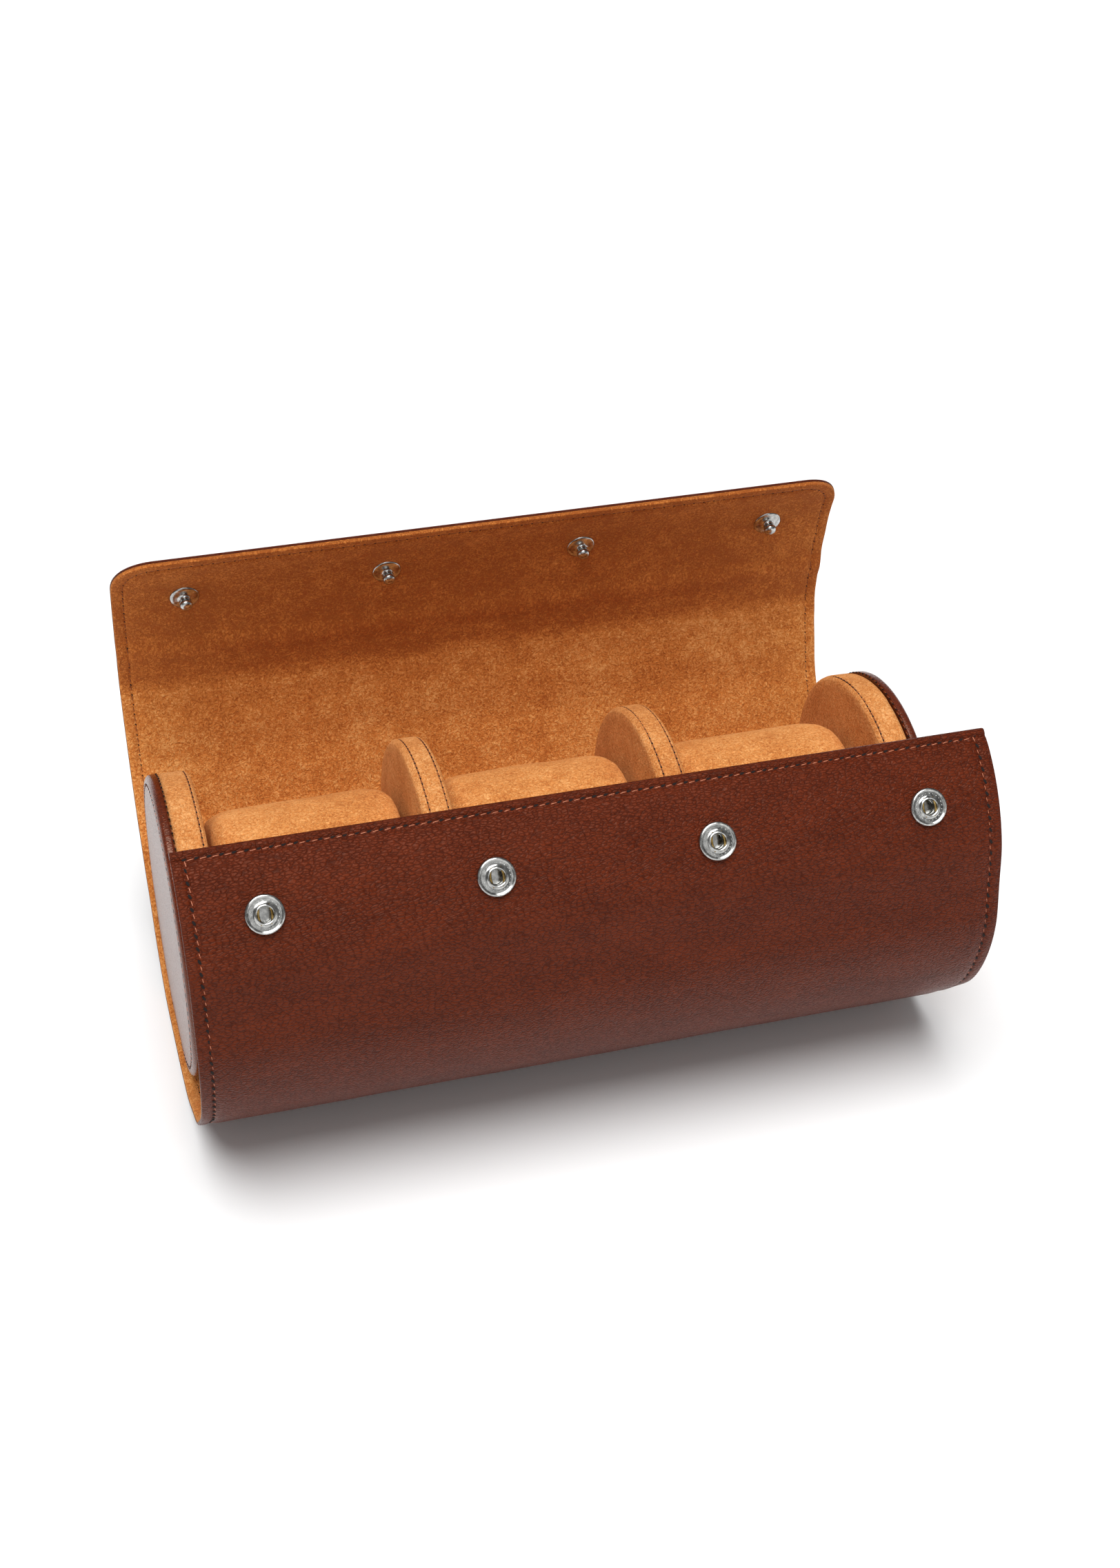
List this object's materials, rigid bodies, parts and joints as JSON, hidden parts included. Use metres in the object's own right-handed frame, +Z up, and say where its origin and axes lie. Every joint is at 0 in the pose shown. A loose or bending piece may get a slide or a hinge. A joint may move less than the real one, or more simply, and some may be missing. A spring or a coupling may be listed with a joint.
{
  "type": "watch roll",
  "caption": "Cylindrical leather watch travel roll, open, with suede pillows between round padded dividers, a springy front panel and a snap-down flap.",
  "frame": {"origin": "centre of the flat bottom that the roll stands on", "axes": "+X along the roll to its right-hand end, -Y to the front panel, +Z up"},
  "size_m": [0.225, 0.1494, 0.1307],
  "materials": {
    "leather": "smooth waxed reddish-brown hide with fine grain",
    "board": "bonded-fibre stiffening board",
    "suede_inside": "tan suede",
    "suede_flap": "tan suede",
    "suede_divider": "tan suede, seamed at the rim",
    "suede_pillow": "tan suede, soft",
    "foam": "upholstery foam",
    "snap_metal": "polished",
    "snap_brass": "satin"
  },
  "bodies": {
    "base": {"base_leather": "leather", "base_board": "board", "base_lining": "suede_inside", "end_face_left": "leather", "end_face_right": "leather", "divider_1_cover": "suede_divider", "divider_1_core": "foam", "divider_2_cover": "suede_divider", "divider_2_core": "foam", "divider_3_cover": "suede_divider", "divider_3_core": "foam", "divider_4_cover": "suede_divider", "divider_4_core": "foam"},
    "front_panel_1": {"front_1_leather": "leather", "front_1_board": "board", "front_1_lining": "suede_inside"},
    "front_panel_2": {"front_2_leather": "leather", "front_2_board": "board", "front_2_lining": "suede_inside"},
    "front_panel_3": {"front_3_leather": "leather", "front_3_board": "board", "front_3_lining": "suede_inside"},
    "front_panel_4": {"front_4_leather": "leather", "front_4_board": "board", "front_4_lining": "suede_inside"},
    "front_panel_5": {"front_5_leather": "leather", "front_5_board": "board", "front_5_lining": "suede_inside", "snap_sockets": "snap_metal", "snap_springs": "snap_brass", "snap_posts": "snap_brass"},
    "flap_panel_1": {"flap_1_leather": "leather", "flap_1_board": "board", "flap_1_lining": "suede_flap"},
    "flap_panel_2": {"flap_2_leather": "leather", "flap_2_board": "board", "flap_2_lining": "suede_flap"},
    "flap_panel_3": {"flap_3_leather": "leather", "flap_3_board": "board", "flap_3_lining": "suede_flap"},
    "flap_panel_4": {"flap_4_leather": "leather", "flap_4_board": "board", "flap_4_lining": "suede_flap"},
    "crease_panel": {"crease_leather": "leather", "crease_lining": "suede_flap"},
    "tab_panel_1": {"tab_1_leather": "leather", "tab_1_board": "board", "tab_1_lining": "suede_flap"},
    "tab_panel_2": {"tab_2_leather": "leather", "tab_2_board": "board", "tab_2_lining": "suede_flap", "snap_studs": "snap_metal", "snap_caps": "snap_metal"},
    "pillow_1": {"pillow_1_cover": "suede_pillow", "pillow_1_core": "foam"},
    "pillow_2": {"pillow_2_cover": "suede_pillow", "pillow_2_core": "foam"},
    "pillow_3": {"pillow_3_cover": "suede_pillow", "pillow_3_core": "foam"}
  },
  "joints": [
    {"name": "front_hinge_1", "type": "hinge", "parent": "base", "child": "front_panel_1", "pos_m": [0, -0.01618, 0.00025], "axis": [1, 0, 0], "range_deg": [-17, 7]},
    {"name": "front_hinge_2", "type": "hinge", "parent": "front_panel_1", "child": "front_panel_2", "pos_m": [0, -0.04083, 0.00874], "axis": [1, 0, 0], "range_deg": [-12.75, 5.25]},
    {"name": "front_hinge_3", "type": "hinge", "parent": "front_panel_2", "child": "front_panel_3", "pos_m": [0, -0.06131, 0.02489], "axis": [1, 0, 0], "range_deg": [-11.05, 4.55]},
    {"name": "front_hinge_4", "type": "hinge", "parent": "front_panel_3", "child": "front_panel_4", "pos_m": [0, -0.07466, 0.04728], "axis": [1, 0, 0], "range_deg": [-1.7, 0.7]},
    {"name": "front_hinge_5", "type": "hinge", "parent": "front_panel_4", "child": "front_panel_5", "pos_m": [0, -0.07442, 0.07494], "axis": [1, 0, 0], "range_deg": [-13.6, 5.6]},
    {"name": "flap_hinge_1", "type": "hinge", "parent": "base", "child": "flap_panel_1", "pos_m": [0, 0.04011, 0.01963], "axis": [-1, 0, 0], "range_deg": [-22, 24]},
    {"name": "flap_hinge_2", "type": "hinge", "parent": "flap_panel_1", "child": "flap_panel_2", "pos_m": [0, 0.05242, 0.03284], "axis": [-1, 0, 0], "range_deg": [-14.3, 15.6]},
    {"name": "flap_hinge_3", "type": "hinge", "parent": "flap_panel_2", "child": "flap_panel_3", "pos_m": [0, 0.06285, 0.04757], "axis": [-1, 0, 0], "range_deg": [-8.8, 9.6]},
    {"name": "flap_hinge_4", "type": "hinge", "parent": "flap_panel_3", "child": "flap_panel_4", "pos_m": [0, 0.06964, 0.06429], "axis": [-1, 0, 0], "range_deg": [-9.9, 10.8]},
    {"name": "crease_hinge", "type": "hinge", "parent": "flap_panel_4", "child": "crease_panel", "pos_m": [0, 0.06979, 0.08124], "axis": [-1, 0, 0], "range_deg": [-6.16, 32.34]},
    {"name": "tab_hinge_1", "type": "hinge", "parent": "crease_panel", "child": "tab_panel_1", "pos_m": [0, 0.07185, 0.09229], "axis": [-1, 0, 0], "range_deg": [-42, 8]},
    {"name": "tab_hinge_2", "type": "hinge", "parent": "tab_panel_1", "child": "tab_panel_2", "pos_m": [0, 0.06998, 0.10681], "axis": [-1, 0, 0], "range_deg": [-7.14, 1.36]},
    {"name": "pillow_1_lift", "type": "slide", "parent": "base", "child": "pillow_1", "axis": [0, 0, 1], "range_m": [0, 0.095]},
    {"name": "pillow_2_lift", "type": "slide", "parent": "base", "child": "pillow_2", "axis": [0, 0, 1], "range_m": [0, 0.095]},
    {"name": "pillow_3_lift", "type": "slide", "parent": "base", "child": "pillow_3", "axis": [0, 0, 1], "range_m": [0, 0.095]}
  ],
  "couplings": [
    {"joint": "front_hinge_2", "follows": "front_hinge_1", "ratio": 0.75},
    {"joint": "front_hinge_3", "follows": "front_hinge_1", "ratio": 0.65},
    {"joint": "front_hinge_4", "follows": "front_hinge_1", "ratio": 0.1},
    {"joint": "front_hinge_5", "follows": "front_hinge_1", "ratio": 0.8},
    {"joint": "flap_hinge_2", "follows": "flap_hinge_1", "ratio": 0.65},
    {"joint": "flap_hinge_3", "follows": "flap_hinge_1", "ratio": 0.4},
    {"joint": "flap_hinge_4", "follows": "flap_hinge_1", "ratio": 0.45},
    {"joint": "crease_hinge", "follows": "tab_hinge_1", "ratio": -0.77},
    {"joint": "tab_hinge_2", "follows": "tab_hinge_1", "ratio": 0.17}
  ]
}
